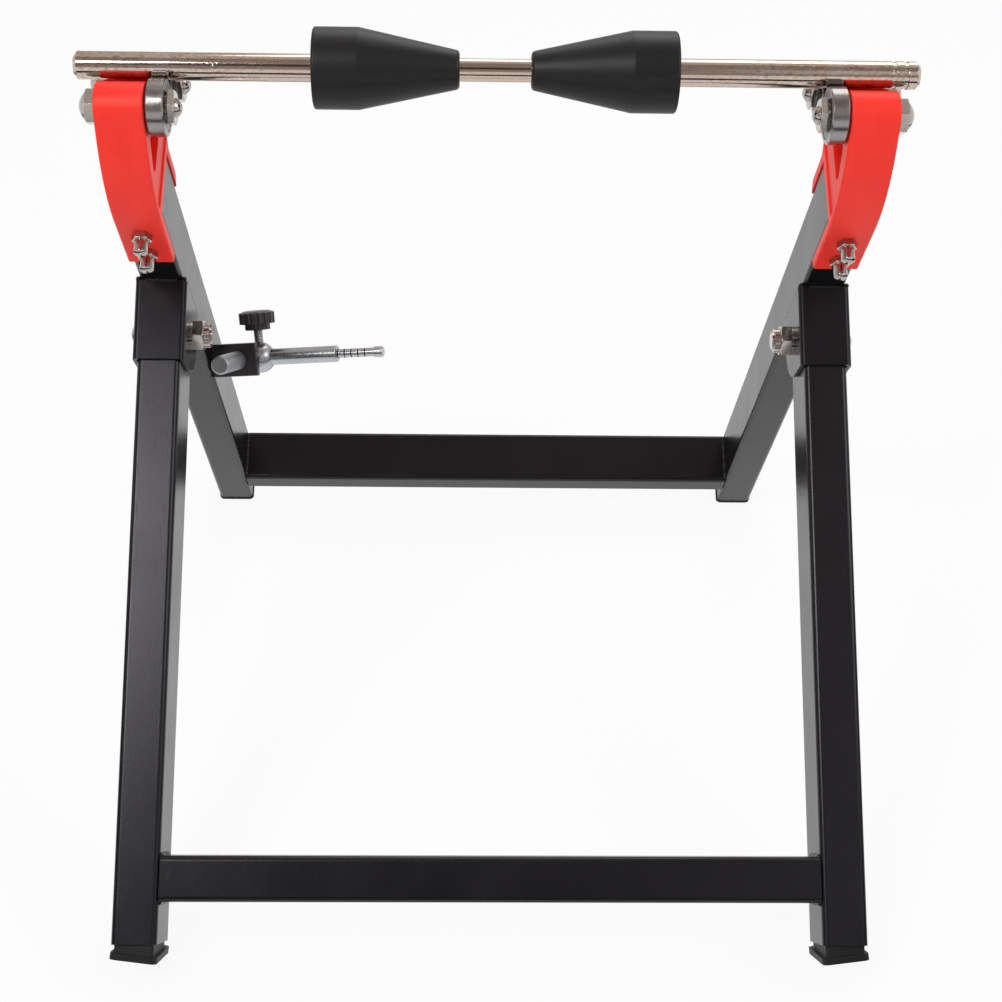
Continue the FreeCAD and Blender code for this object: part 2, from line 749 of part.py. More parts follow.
def gaugeHolder():
    """Tube that carries the pointer pin through the boss."""
    start = Vector(-holderBack, holderY, 0)
    body = rod(holderRadius, holderBack + holderFront, start, xAxis)
    rimEdges = [edge for edge in body.Edges if hasattr(edge.Curve, "Radius")]
    body = body.makeChamfer(tubeWall * half * half, rimEdges)
    boreStart = Vector(holderFront - pinLengthInside - pinTravel - tabThickness, holderY, 0)
    body = body.cut(rod(pinRadius + runningGap, farAway, boreStart, xAxis))
    return moved(body, gaugePlace)


def gaugePin():
    """Pointer pin with turned marks and a thicker chamfered tip."""
    end = holderFront + pinReach
    shank = pinRadius
    points = [(holderFront - pinLengthInside, 0), (holderFront - pinLengthInside, shank)]
    for number in range(markCount):
        low = end - pinTipLength - markFromTip - markPitch * (markCount - number - 1)
        high = low + markWidth
        points += [(low, shank), (low, shank - markDepth), (high, shank - markDepth), (high, shank)]
    points += [(end - pinTipLength, shank), (end - pinTipLength, pinTipRadius)]
    points += [(end - pinTipChamfer, pinTipRadius), (end, pinTipRadius - pinTipChamfer), (end, 0)]
    return moved(turned(points, Vector(0, holderY, 0), xAxis), gaugePlace)


def gaugeStud():
    """Stud that clamps the holder when the knob is turned."""
    low = holderRadius + studTipGap
    start = Vector(bossX, holderY, low)
    length = knobBottom + knobCollarHeight - low
    return moved(rod(knobStudRadius, length, start, zAxis), gaugePlace)


def gaugeKnob():
    """Two-step knob, crowned on top, fluted around both steps."""
    step = knobBottom + knobCollarHeight
    top = step + knobHeadHeight
    points = [(knobBottom, knobStudRadius), (knobBottom, knobCollarRadius), (step, knobCollarRadius)]
    points += [(step, knobRadius), (top - knobCrown, knobRadius), (top, knobCollarRadius), (top, 0)]
    points += [(step, 0), (step, knobStudRadius)]
    axisPoint = Vector(bossX, holderY, 0)
    knob = turned(points, axisPoint, zAxis)
    flutes = []
    for number in range(knobFlutes):
        turn = math.radians(fullTurn / knobFlutes * number)
        outward = Vector(math.cos(turn), math.sin(turn), 0)
        headSpot = axisPoint + outward * (knobRadius * knobFluteShare) + zAxis * step
        collarSpot = axisPoint + outward * (knobCollarRadius * knobFluteShare) + zAxis * knobBottom
        flutes.append(rod(knobFluteRadius, knobHeadHeight, headSpot, zAxis))
        flutes.append(rod(knobFluteRadius * half, knobCollarHeight, collarSpot, zAxis))
    knob = knob.cut(Part.makeCompound(flutes))
    return moved(knob, gaugePlace)


def allParts():
    parts = {}
    for side, name, tip in ((-1, "left", leftTipFromCentre), (1, "right", rightTipFromCentre)):
        parts["front_leg_" + name] = frontLeg(side)
        parts["rear_leg_" + name] = rearLeg(side)
        parts["front_cap_" + name] = footCap(side, frontPlace, frontCapDrop, frontCapTip, frontCapRoll)
        parts["rear_cap_" + name] = footCap(side, rearPlace, capThickness, 0, 0)
        parts["pivot_bracket_" + name] = pivotBracket(side)
        parts["pivot_bolt_" + name] = pivotBolt(side)
        parts["pivot_nut_" + name] = pivotNut(side)
        parts["pivot_washer_" + name] = pivotWasher(side)
        parts["arm_" + name] = arm(side)
        parts["arm_studs_" + name] = armStuds(side)
        parts["arm_nuts_" + name] = armNuts(side)
        parts["cone_" + name] = cone(side, tip)
    parts["front_bar"] = crossbar(frontBarLow, tubeSize, tubeSize, frontPlace)
    parts["rear_bar"] = crossbar(rearBarLow, rearBarHeight, legDepth, rearPlace)
    inner = []
    for side, name, axleY in axles():
        place = ("left" if side < 0 else "right") + "_" + name
        parts["bearing_" + place] = bearingRing(side, axleY)
        parts["balls_" + place] = ballSet(side, axleY)
        inner.append(innerRing(side, axleY))
    parts["inner_rings"] = Part.makeCompound(inner)
    parts["ring_spacers"] = ringSpacers()
    parts["axle_bolts"] = axleBolts()
    parts["axle_nuts"] = axleNuts()
    parts["shaft"] = shaft()
    parts["gauge_tab"] = gaugeTab()
    parts["gauge_boss"] = gaugeBoss()
    parts["gauge_post"] = gaugePost()
    parts["gauge_holder"] = gaugeHolder()
    parts["gauge_pin"] = gaugePin()
    parts["gauge_stud"] = gaugeStud()
    parts["gauge_knob"] = gaugeKnob()
    return parts


def build():
    """Make every part, centre the stand over the origin and write one file for each."""
    parts = allParts()
    box = FreeCAD.BoundBox()
    for shape in parts.values():
        box.add(shape.optimalBoundingBox(False, False))
    shift = Vector(-(box.XMin + box.XMax) * half, -(box.YMin + box.YMax) * half, -box.ZMin)
    os.makedirs("parts", exist_ok=True)
    for name, shape in parts.items():
        shape = shape.copy()
        shape.translate(shift)
        shape.exportStep("parts/" + name + ".step")
        print(name, len(shape.Solids), round(shape.Volume, 1), shape.isValid())
    print("shift", shift.x, shift.y, shift.z)
    print("size", box.XLength, box.YLength, box.ZLength)


build()
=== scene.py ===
# Folding wheel truing stand: finishes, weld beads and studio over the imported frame.
# Lengths are metres, in the stand's own frame: +X along the shaft, +Y to the rear crossbar, +Z up.
import math

import bmesh
import bpy
from mathutils import Matrix, Vector


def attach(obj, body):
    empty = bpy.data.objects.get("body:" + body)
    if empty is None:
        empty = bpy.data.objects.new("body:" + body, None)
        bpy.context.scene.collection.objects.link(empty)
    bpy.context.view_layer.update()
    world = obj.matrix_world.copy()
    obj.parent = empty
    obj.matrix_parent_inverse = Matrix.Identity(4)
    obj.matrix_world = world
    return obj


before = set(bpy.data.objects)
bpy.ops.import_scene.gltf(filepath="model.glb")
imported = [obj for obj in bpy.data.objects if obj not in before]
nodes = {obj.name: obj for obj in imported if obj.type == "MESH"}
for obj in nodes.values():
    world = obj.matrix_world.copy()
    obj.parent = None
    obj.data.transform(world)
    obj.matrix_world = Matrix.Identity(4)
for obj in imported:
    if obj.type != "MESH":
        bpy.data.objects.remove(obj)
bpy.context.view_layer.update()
sides = (("left", -1.0), ("right", 1.0))
print("frame loaded,", len(nodes), "nodes")


class Wire:
    # a socket that can be added, subtracted and multiplied like a number
    def __init__(self, shop, socket):
        self.shop = shop
        self.socket = socket

    def __add__(self, other):
        return self.shop.join("ADD", self, other)

    def __radd__(self, other):
        return self.shop.join("ADD", other, self)

    def __sub__(self, other):
        return self.shop.join("SUBTRACT", self, other)

    def __rsub__(self, other):
        return self.shop.join("SUBTRACT", other, self)

    def __mul__(self, other):
        return self.shop.join("MULTIPLY", self, other)

    def __abs__(self):
        return self.shop.join("ABSOLUTE", self)


rounding = {
    "samples": 6,
    "edgeStep": (0.02, 0.18),       # how far the softened normal leaves the surface's own
}


class Shop:
    # one node tree, filled through a single method
    def __init__(self, tree):
        self.tree = tree
        tree.nodes.clear()

    def node(self, kind, settings=None, sockets=None, output=0):
        made = self.tree.nodes.new(kind)
        for name, value in (settings or {}).items():
            setattr(made, name, value)
        for name, value in (sockets or {}).items():
            if isinstance(value, Wire):
                self.tree.links.new(value.socket, made.inputs[name])
            else:
                made.inputs[name].default_value = value
        if len(made.outputs) > 0:
            return Wire(self, made.outputs[output])

    def join(self, operation, first, second=0.0):
        return self.node("ShaderNodeMath", {"operation": operation}, {0: first, 1: second})

    def measure(self, operation, sockets):
        # a vector operation that gives a number
        return self.node("ShaderNodeVectorMath", {"operation": operation}, sockets, output="Value")

    def place(self):
        return self.node("ShaderNodeTexCoord", output="Object")

    def noise(self, place, size, detail=2.0, stretch=(1.0, 1.0, 1.0)):
        stretched = self.node("ShaderNodeVectorMath", {"operation": "MULTIPLY"}, {0: place, 1: stretch})
        sockets = {"Vector": stretched, "Scale": 1.0 / size, "Detail": detail}
        return self.node("ShaderNodeTexNoise", None, sockets)

    def step(self, value, low, high):
        # 0 below low, 1 above high, smooth between them
        return self.node("ShaderNodeMapRange", {"interpolation_type": "SMOOTHSTEP"},
                         {"Value": value, "From Min": low, "From Max": high, "To Min": 0.0, "To Max": 1.0})

    def mixColour(self, mask, first, second):
        return self.node("ShaderNodeMix", {"data_type": "RGBA"}, {0: mask, 6: first, 7: second}, output=2)

    def shared(self, first, second, share):
        # mostly first, with this share of second
        return first * (1.0 - share) + second * share

    def largest(self, values):
        result = values[0]
        for value in values[1:]:
            result = self.join("MAXIMUM", result, value)
        return result

    def dot(self, first, second):
        return self.measure("DOT_PRODUCT", {0: first, 1: second})

    def offset(self, place, centre):
        return self.node("ShaderNodeVectorMath", {"operation": "SUBTRACT"}, {0: place, 1: centre})

    def along(self, place, centre, axis):
        # distance from the centre along the axis
        return self.dot(self.offset(place, centre), axis)

    def across(self, place, centre, axis):
        # distance from the axis
        length = self.measure("LENGTH", {0: self.offset(place, centre)})
        along = self.along(place, centre, axis)
        return self.join("SQRT", self.join("MAXIMUM", length * length - along * along, 0.0))

    def softened(self, radius):
        # the normal, rounded over the edges
        return self.node("ShaderNodeBevel", {"samples": rounding["samples"]}, {"Radius": radius})

    def edges(self, soft):
        # 1 where the softened normal leaves the surface's own, on the edges
        flat = self.node("ShaderNodeNewGeometry", output="Normal")
        return self.step(1.0 - self.dot(soft, flat), *rounding["edgeStep"])

    def bump(self, height, distance, strength, normal=None):
        sockets = {"Height": height, "Distance": distance, "Strength": strength}
        if normal is not None:
            sockets["Normal"] = normal
        return self.node("ShaderNodeBump", None, sockets)


def newMaterial(name):
    material = bpy.data.materials.new(name)
    material.use_nodes = True
    return material, Shop(material.node_tree)


def close(shop, sockets):
    # the shader and its output
    surface = shop.node("ShaderNodeBsdfPrincipled", None, sockets)
    shop.node("ShaderNodeOutputMaterial", None, {"Surface": surface})


powderCoat = {
    "leg": {
        "low": (0.0042, 0.0040, 0.0050, 1.0),
        "high": (0.0080, 0.0077, 0.0094, 1.0),
        "edge": (0.055, 0.055, 0.060, 1.0),
        "peelHeight": 0.00005,
        "roughness": 0.26,
        "gloss": 0.33,
        "round": 0.0006,
    },
    # the brackets' own satin coat, its colour painted lighter than the legs' coat: painted light that
    # lifts the brackets
    "bracket": {
        "low": (0.0080, 0.0076, 0.0090, 1.0),
        "high": (0.0125, 0.0120, 0.0140, 1.0),
        "edge": (0.050, 0.050, 0.054, 1.0),
        "peelHeight": 0.00002,
        "roughness": 0.20,
        "gloss": 0.17,
        "round": 0.0005,
    },
    # the tab's coat is a lighter copy of the legs' coat: painted light on the shaded tab
    "tab": {
        "low": (0.0240, 0.0230, 0.0250, 1.0),
        "high": (0.0340, 0.0330, 0.0360, 1.0),
        "edge": (0.045, 0.045, 0.048, 1.0),
        "peelHeight": 0.00004,
        "roughness": 0.30,
        "gloss": 0.45,
        "round": 0.0004,
    },
    "peel": {"size": 0.0011, "detail": 1.5},
    "peelStrength": 0.6,
    "cloud": {"size": 0.035, "detail": 4.0},
    "cloudShare": 0.5,
    "cloudRoughness": 0.10,
    "rub": {"size": 0.0042, "detail": 3.0, "stretch": (1.0, 0.25, 0.25)},
    "rubAndHighlightOnEdges": (0.35, 0.70),
    "rubAndHighlightShare": 0.6,
    "rubOnFaces": (0.60, 0.75),
    "rubRoughness": 0.03,
    "sheen": (0.96, 0.94, 1.0, 1.0),
}


def powderCoatMaterial(kind):
    s = {**powderCoat, **powderCoat[kind]}
    material, shop = newMaterial(kind + "PowderCoat")
    place = shop.place()
    peel = shop.noise(place, **s["peel"])
    cloud = shop.noise(place, **s["cloud"])
    rub = shop.noise(place, **s["rub"])
    soft = shop.softened(s["round"])
    colour = shop.mixColour(shop.shared(peel, cloud, s["cloudShare"]), s["low"], s["high"])
    # paler coat on the edges where the rub noise allows: partly edge wear, partly painted highlight
    rubbedAndHighlit = shop.edges(soft) * shop.step(rub, *s["rubAndHighlightOnEdges"])
    colour = shop.mixColour(rubbedAndHighlit * s["rubAndHighlightShare"], colour, s["edge"])
    rough = s["roughness"] + (cloud - 0.5) * s["cloudRoughness"]
    rough = rough + shop.step(rub, *s["rubOnFaces"]) * s["rubRoughness"]
    normal = shop.bump(peel, s["peelHeight"], s["peelStrength"], soft)
    close(shop, {"Base Color": colour, "Roughness": rough, "Specular IOR Level": s["gloss"],
                 "Specular Tint": s["sheen"], "Normal": normal})
    return material


armPaint = {
    "low": (0.88, 0.024, 0.012, 1.0),
    "high": (0.95, 0.036, 0.021, 1.0),
    "edge": (0.96, 0.085, 0.060, 1.0),
    "edgeShare": 0.5,
    "round": 0.0007,
    "grain": {"size": 0.0007},
    "grainHeight": 0.00003,
    "grainStrength": 0.5,
    "grainRoughness": 0.05,
    "flow": {"size": 0.02, "detail": 3.0, "stretch": (1.0, 0.6, 0.35)},
    "flowStep": (0.3, 0.7),
    "flowRoughness": 0.16,
    "roughness": 0.46,
    "gloss": 0.36,
}


def armPaintMaterial():
    s = armPaint
    material, shop = newMaterial("redMouldedArm")
    place = shop.place()
    grain = shop.noise(place, **s["grain"])
    flow = shop.noise(place, **s["flow"])
    soft = shop.softened(s["round"])
    colour = shop.mixColour(shop.step(flow, *s["flowStep"]), s["low"], s["high"])
    # paler red on the edges: painted highlight
    colour = shop.mixColour(shop.edges(soft) * s["edgeShare"], colour, s["edge"])
    rough = s["roughness"] + (flow - 0.5) * s["flowRoughness"] + (grain - 0.5) * s["grainRoughness"]
    normal = shop.bump(grain, s["grainHeight"], s["grainStrength"], soft)
    close(shop, {"Base Color": colour, "Roughness": rough, "Specular IOR Level": s["gloss"],
                 "Normal": normal})
    return material


blackPlastic = {
    "cone": {
        "low": (0.0050, 0.0050, 0.0064, 1.0),
        "high": (0.0095, 0.0092, 0.0115, 1.0),
        "rub": (0.026, 0.025, 0.026, 1.0),
        "grain": 0.00045,
        "grainHeight": 0.00004,
        "roughness": 0.42,
        "gloss": 0.30,
        "round": 0.0005,
        "lathe": {"size": 0.0008, "detail": 1.0, "stretch": (1.0, 0.02, 0.02)},
        "latheHeight": 0.00003,
        "latheStrength": 0.5,
    },
    "knob": {
        "low": (0.036, 0.033, 0.036, 1.0),
        "high": (0.056, 0.053, 0.057, 1.0),
        "rub": (0.060, 0.058, 0.062, 1.0),
        "grain": 0.0003,
        "grainHeight": 0.00003,
        "roughness": 0.40,
        "gloss": 0.5,
        "round": 0.0003,
    },
    "foot": {
        "low": (0.0055, 0.0058, 0.0072, 1.0),
        "high": (0.0120, 0.0125, 0.0150, 1.0),
        "rub": (0.045, 0.044, 0.045, 1.0),
        "grain": 0.0006,
        "grainHeight": 0.00006,
        "roughness": 0.55,
        "gloss": 0.30,
        "round": 0.0005,
    },
    "grainShare": 0.3,
    "grainStrength": 0.55,
    "cloudTimes": 40.0,         # a cloud is this many grains wide
    "cloudDetail": 4.0,
    "cloudRoughness": 0.14,
    "scuffTimes": 9.0,
    "scuffDetail": 3.0,
    "scuffStretch": (0.3, 1.0, 1.0),
    "scuffStep": (0.62, 0.78),
    "scuffShare": 0.25,
    "edgeShare": 0.35,
    "edgeRoughness": 0.06,
}


def plasticMaterial(kind):
    s = {**blackPlastic, **blackPlastic[kind]}
    material, shop = newMaterial(kind + "Plastic")
    place = shop.place()
    grain = shop.noise(place, s["grain"])
    cloud = shop.noise(place, s["grain"] * s["cloudTimes"], s["cloudDetail"])
    streaks = shop.noise(place, s["grain"] * s["scuffTimes"], s["scuffDetail"], s["scuffStretch"])
    scuff = shop.step(streaks, *s["scuffStep"])
    soft = shop.softened(s["round"])
    edge = shop.edges(soft)
    colour = shop.mixColour(shop.shared(cloud, grain, s["grainShare"]), s["low"], s["high"])
    colour = shop.mixColour(scuff * s["scuffShare"] + edge * s["edgeShare"], colour, s["rub"])
    rough = s["roughness"] + (cloud - 0.5) * s["cloudRoughness"] - edge * s["edgeRoughness"]
    normal = shop.bump(grain, s["grainHeight"], s["grainStrength"], soft)
    if "lathe" in s:
        # faint lines round the shaft, as from a lathe
        lines = shop.noise(place, **s["lathe"])
        normal = shop.bump(lines, s["latheHeight"], s["latheStrength"], normal)
    close(shop, {"Base Color": colour, "Roughness": rough, "Specular IOR Level": s["gloss"],
                 "Normal": normal})
    return material


brightMetal = {
    "chrome": {
        "low": (0.31, 0.270, 0.250, 1.0),
        "high": (0.58, 0.54, 0.505, 1.0),
        "stain": (0.18, 0.150, 0.130, 1.0),
        "blotch": 0.0028,
        "blotchRoughness": 0.10,
        "roughness": 0.11,
        "scratch": 0.00002,
        "round": 0.0004,
    },
    "zinc": {
        "low": (0.36, 0.38, 0.405, 1.0),
        "high": (0.58, 0.61, 0.64, 1.0),
        "stain": (0.25, 0.26, 0.27, 1.0),
        "blotch": 0.003,
        "blotchRoughness": 0.14,
        "roughness": 0.27,
        "scratch": 0.00003,
        "round": 0.0003,
    },
    "satin": {
        "low": (0.34, 0.35, 0.37, 1.0),
        "high": (0.50, 0.52, 0.545, 1.0),
        "stain": (0.24, 0.25, 0.26, 1.0),
        "blotch": 0.003,
        "blotchRoughness": 0.14,
        "roughness": 0.46,
        "scratch": 0.00004,
        "round": 0.0003,
    },
    "blotchDetail": 4.0,
    "blotchMiddle": 0.4,
    "stainStep": (0.58, 0.74),
    "stainShare": 0.35,
    "fineTimes": 0.08,          # the fine scratches are this much smaller than a blotch
    "fineDetail": 3.0,
    "fineStretch": (1.0, 0.3, 1.0),
    "fineRoughness": 0.05,
    "scratchStrength": 0.4,
}


def metalMaterial(kind, name):
    s = {**brightMetal, **brightMetal[kind]}
    material, shop = newMaterial(name)
    place = shop.place()
    blotch = shop.noise(place, s["blotch"], s["blotchDetail"])
    fine = shop.noise(place, s["blotch"] * s["fineTimes"], s["fineDetail"], s["fineStretch"])
    colour = shop.mixColour(blotch, s["low"], s["high"])
    colour = shop.mixColour(shop.step(blotch, *s["stainStep"]) * s["stainShare"], colour, s["stain"])
    rough = s["roughness"] + (blotch - s["blotchMiddle"]) * s["blotchRoughness"]
    rough = rough + (fine - 0.5) * s["fineRoughness"]
    normal = shop.bump(fine, s["scratch"], s["scratchStrength"], shop.softened(s["round"]))
    close(shop, {"Base Color": colour, "Roughness": rough, "Metallic": 1.0, "Normal": normal})
    return material


shaftChrome = {
    "centre": (0.0, -0.005426, 0.434625),
    "axis": (1.0, 0.0, 0.0),
    "low": (0.48, 0.385, 0.325, 1.0),
    "high": (0.64, 0.53, 0.455, 1.0),
    "pit": (0.15, 0.115, 0.095, 1.0),
    "track": (0.60, 0.55, 0.51, 1.0),
    "fleck": (0.86, 0.82, 0.78, 1.0),
    "round": 0.0004,
    "roughness": 0.10,
    "drawn": {"size": 0.0009, "detail": 3.0, "stretch": (0.012, 1.0, 1.0)},
    "drawnAndReflectedShare": 0.4,
    "drawnRoughness": 0.08,
    "drawnHeight": 0.00002,
    "drawnStrength": 0.5,
    "cloud": {"size": 0.012, "detail": 4.0, "stretch": (0.4, 1.0, 1.0)},
    "cloudRoughness": 0.08,
    "pits": {"size": 0.0013},
    "pitStep": (0.70, 0.76),
    "pitShare": 0.5,
    "pitRoughness": 0.15,
    "wornStep": (0.085, 0.150),     # worn outside the cones, from here to here along the shaft
    "wornRoughness": 0.2,
    "mottle": {"size": 0.0014, "detail": 4.0, "stretch": (0.55, 1.0, 1.0)},
    "darkStep": (0.54, 0.64),
    "darkShare": 0.42,
    "paleStep": (0.34, 0.43),
    "paleShare": 0.4,
    "trackAt": 0.1758,
    "trackHalf": 0.0055,
    "trackFade": 0.001,
    "trackShare": 0.5,
    # along the shaft, and degrees up from the front
    "nicks": ((-0.1504, 36.0), (-0.1474, 26.0), (-0.1452, 36.0)),
    "nickRadius": 0.0007,
    "nickShare": 0.9,
    "nickHeight": 4.0,              # in heights of the drawn lines
    "surface": 0.0073,              # from the axis to the nicks
}


def nickMask(shop, place, spot, turn):
    s = shaftChrome
    angle = math.radians(turn)
    y = s["centre"][1] - s["surface"] * math.cos(angle)
    z = s["centre"][2] + s["surface"] * math.sin(angle)
    offset = shop.measure("DISTANCE", {0: place, 1: (spot, y, z)})
    return 1.0 - shop.step(offset, s["nickRadius"] * 0.5, s["nickRadius"])


def shaftMaterial():
    s = shaftChrome
    material, shop = newMaterial("shaftChrome")
    place = shop.place()
    along = shop.along(place, s["centre"], s["axis"])
    drawn = shop.noise(place, **s["drawn"])
    cloud = shop.noise(place, **s["cloud"])
    pits = shop.step(shop.noise(place, **s["pits"]), *s["pitStep"])
    mottle = shop.noise(place, **s["mottle"])
    worn = shop.step(abs(along), *s["wornStep"])
    # streaks along the shaft: partly drawn-steel lines, partly painted reflections of dark things
    colour = shop.mixColour(shop.shared(cloud, drawn, s["drawnAndReflectedShare"]), s["low"], s["high"])
    dark = worn * shop.step(mottle, *s["darkStep"])
    colour = shop.mixColour(dark * s["darkShare"], colour, s["pit"])
    pale = worn * (1.0 - shop.step(mottle, *s["paleStep"]))
    colour = shop.mixColour(pale * s["paleShare"], colour, s["fleck"])
    # polished tracks where the shaft rolls on its bearings
    fromTrack = abs(abs(along) - s["trackAt"])
    track = 1.0 - shop.step(fromTrack, s["trackHalf"] - s["trackFade"], s["trackHalf"])
    colour = shop.mixColour(track * s["trackShare"], colour, s["track"])
    colour = shop.mixColour(pits * s["pitShare"], colour, s["pit"])
    nicked = shop.largest([nickMask(shop, place, spot, turn) for spot, turn in s["nicks"]])
    colour = shop.mixColour(nicked * s["nickShare"], colour, s["fleck"])
    rough = s["roughness"] + (cloud - 0.5) * s["cloudRoughness"] + (drawn - 0.5) * s["drawnRoughness"]
    rough = rough + pits * s["pitRoughness"] + worn * (mottle - 0.5) * s["wornRoughness"]
    height = drawn + nicked * s["nickHeight"]
    normal = shop.bump(height, s["drawnHeight"], s["drawnStrength"], shop.softened(s["round"]))
    close(shop, {"Base Color": colour, "Roughness": rough, "Metallic": 1.0, "Normal": normal})
    return material


bearingSteel = {
    "axis": (1.0, 0.0, 0.0),
    "away": 0.1758,             # from the middle of the stand along the axis
    "rows": {"front": -0.021226, "rear": 0.010374},
    "height": 0.418465,
    "low": (0.22, 0.205, 0.20, 1.0),
    "high": (0.40, 0.385, 0.38, 1.0),
    "shield": (0.16, 0.155, 0.155, 1.0),
    "shieldFrom": 0.0078,
    "shieldTo": 0.0126,
    "shieldFade": 0.0002,
    "shieldShare": 0.8,
    "shieldRoughness": 0.1,
    "rings": {"size": 0.00022},
    "ringRoughness": 0.12,
    "ringHeight": 0.00003,
    "ringStrength": 0.6,
    "cloud": {"size": 0.005, "detail": 3.0},
    "cloudShare": 0.4,
    "cloudRoughness": 0.12,
    "roughness": 0.23,
    "round": 0.0003,
}


def bearingMaterial(name, centre):
    s = bearingSteel
    material, shop = newMaterial(name)
    place = shop.place()
    across = shop.across(place, centre, s["axis"])
    along = shop.along(place, centre, s["axis"])
    rings = shop.noise(shop.node("ShaderNodeCombineXYZ", None, {0: across, 1: along}), **s["rings"])
    cloud = shop.noise(place, **s["cloud"])
    inside = 1.0 - shop.step(across, s["shieldTo"] - s["shieldFade"], s["shieldTo"])
    onShield = shop.step(across, s["shieldFrom"] - s["shieldFade"], s["shieldFrom"]) * inside
    colour = shop.mixColour(shop.shared(rings, cloud, s["cloudShare"]), s["low"], s["high"])
    colour = shop.mixColour(onShield * s["shieldShare"], colour, s["shield"])
    rough = s["roughness"] + (cloud - 0.5) * s["cloudRoughness"] + (rings - 0.5) * s["ringRoughness"]
    rough = rough + onShield * s["shieldRoughness"]
    normal = shop.bump(rings, s["ringHeight"], s["ringStrength"], shop.softened(s["round"]))
    close(shop, {"Base Color": colour, "Roughness": rough, "Metallic": 1.0, "Normal": normal})
    return material


pointerPin = {
    "axis": (0.962133, -0.20363, 0.181206),
    "tip": (-0.069183, 0.084562, 0.21251),
    "ink": (0.020, 0.020, 0.022, 1.0),
    "low": (0.40, 0.41, 0.43, 1.0),
    "high": (0.60, 0.62, 0.64, 1.0),
    "tipLength": 0.006,
    "firstMark": 0.0065,
    "markPitch": 0.0046,
    "markWidth": 0.0007,
    "markFade": (0.50, 0.62),   # in mark widths from its middle
    "markCount": 5,
    "darkBandRoughness": 0.3,
    "darkBandMetal": 0.2,
    "cloud": {"size": 0.003, "detail": 4.0},
    "cloudRoughness": 0.14,
    "fine": {"size": 0.0003},
    "fineHeight": 0.00002,
    "fineStrength": 0.4,
    "roughness": 0.26,
    "round": 0.0003,
}


def pinMaterial():
    s = pointerPin
    material, shop = newMaterial("pointerPin")
    place = shop.place()
    along = shop.along(place, s["tip"], s["axis"])
    cloud = shop.noise(place, **s["cloud"])
    fine = shop.noise(place, **s["fine"])
    near, far = (share * s["markWidth"] for share in s["markFade"])
    # five dark bands round the pin, rougher and less metallic than the rest
    found = []
    for number in range(s["markCount"]):
        middle = s["markWidth"] * 0.5 - (s["tipLength"] + s["firstMark"] + s["markPitch"] * number)
        found.append(1.0 - shop.step(abs(along - middle), near, far))
    marks = shop.largest(found)
    colour = shop.mixColour(cloud, s["low"], s["high"])
    colour = shop.mixColour(marks, colour, s["ink"])
    rough = s["roughness"] + (cloud - 0.5) * s["cloudRoughness"] + marks * s["darkBandRoughness"]
    metal = 1.0 - marks * (1.0 - s["darkBandMetal"])
    normal = shop.bump(fine, s["fineHeight"], s["fineStrength"], shop.softened(s["round"]))
    close(shop, {"Base Color": colour, "Roughness": rough, "Metallic": metal, "Normal": normal})
    return material


clampScrew = {
    "axis": (-0.080693, 0.422205, 0.902902),
    "foot": (-0.150868, 0.10185, 0.197126),
    "valley": (0.34, 0.35, 0.36, 1.0),
    "crest": (0.82, 0.84, 0.86, 1.0),
    "pitch": 0.001,
    "depth": 0.0003,
    "depthStrength": 1.0,
    "cloud": {"size": 0.002, "detail": 3.0},
    "cloudShare": 0.2,
    "cloudRoughness": 0.1,
    "roughness": 0.25,
}


def screwMaterial():
    s = clampScrew
    material, shop = newMaterial("clampScrewThread")
    place = shop.place()
    along = shop.along(place, s["foot"], s["axis"])
    wave = shop.join("SINE", along * (2.0 * math.pi / s["pitch"]))
    crest = wave * 0.5 + 0.5
    cloud = shop.noise(place, **s["cloud"])
    # darker in the thread's valleys and brighter on its crests: painted shade and painted highlight
    colour = shop.mixColour(shop.shared(crest, cloud, s["cloudShare"]), s["valley"], s["crest"])
    rough = s["roughness"] + (cloud - 0.5) * s["cloudRoughness"]
    normal = shop.bump(crest, s["depth"], s["depthStrength"])
    close(shop, {"Base Color": colour, "Roughness": rough, "Metallic": 1.0, "Normal": normal})
    return material


def dress(material, *names):
    for name in names:
        part = nodes[name]
        part.data.materials.clear()
        part.data.materials.append(material)


frameCoat = powderCoatMaterial("leg")
plateCoat = powderCoatMaterial("bracket")
chrome = metalMaterial("chrome", "fastenerChrome")
for side, sign in sides:
    dress(frameCoat, "front_leg_" + side, "rear_leg_" + side)
    dress(plateCoat, "pivot_bracket_" + side)
    dress(chrome, "pivot_bolt_" + side, "pivot_washer_" + side, "pivot_nut_" + side)
    dress(chrome, "arm_studs_" + side, "arm_nuts_" + side)
    for row, y in bearingSteel["rows"].items():
        spot = side + "_" + row
        centre = (sign * bearingSteel["away"], y, bearingSteel["height"])
        dress(bearingMaterial("bearingSteel_" + spot, centre), "bearing_" + spot, "balls_" + spot)
dress(frameCoat, "front_bar", "rear_bar")
dress(powderCoatMaterial("tab"), "gauge_tab")
dress(chrome, "axle_bolts", "axle_nuts", "ring_spacers")
dress(metalMaterial("chrome", "innerRingSteel"), "inner_rings")
dress(armPaintMaterial(), "arm_left", "arm_right")
dress(plasticMaterial("cone"), "cone_left", "cone_right")
dress(plasticMaterial("knob"), "gauge_knob")
dress(plasticMaterial("foot"), "front_cap_left", "front_cap_right", "rear_cap_left", "rear_cap_right")
dress(shaftMaterial(), "shaft")
dress(metalMaterial("zinc", "zincPlate"), "gauge_boss", "gauge_holder")
dress(metalMaterial("satin", "satinZinc"), "gauge_post")
dress(pinMaterial(), "gauge_pin")
dress(screwMaterial(), "gauge_stud")
print("finishes on", len(nodes), "nodes")


standFrame = {
    "frontStart": (-0.244041, 0.031169),    # y and z of the front tubes' lower front corner
    "rearStart": (0.217556, 0.002083),      # and of the rear tubes'
    "frontLean": 46.17,
    "rearLean": 33.33,
    "legInner": 0.182,
    "legCentre": 0.1945,
}


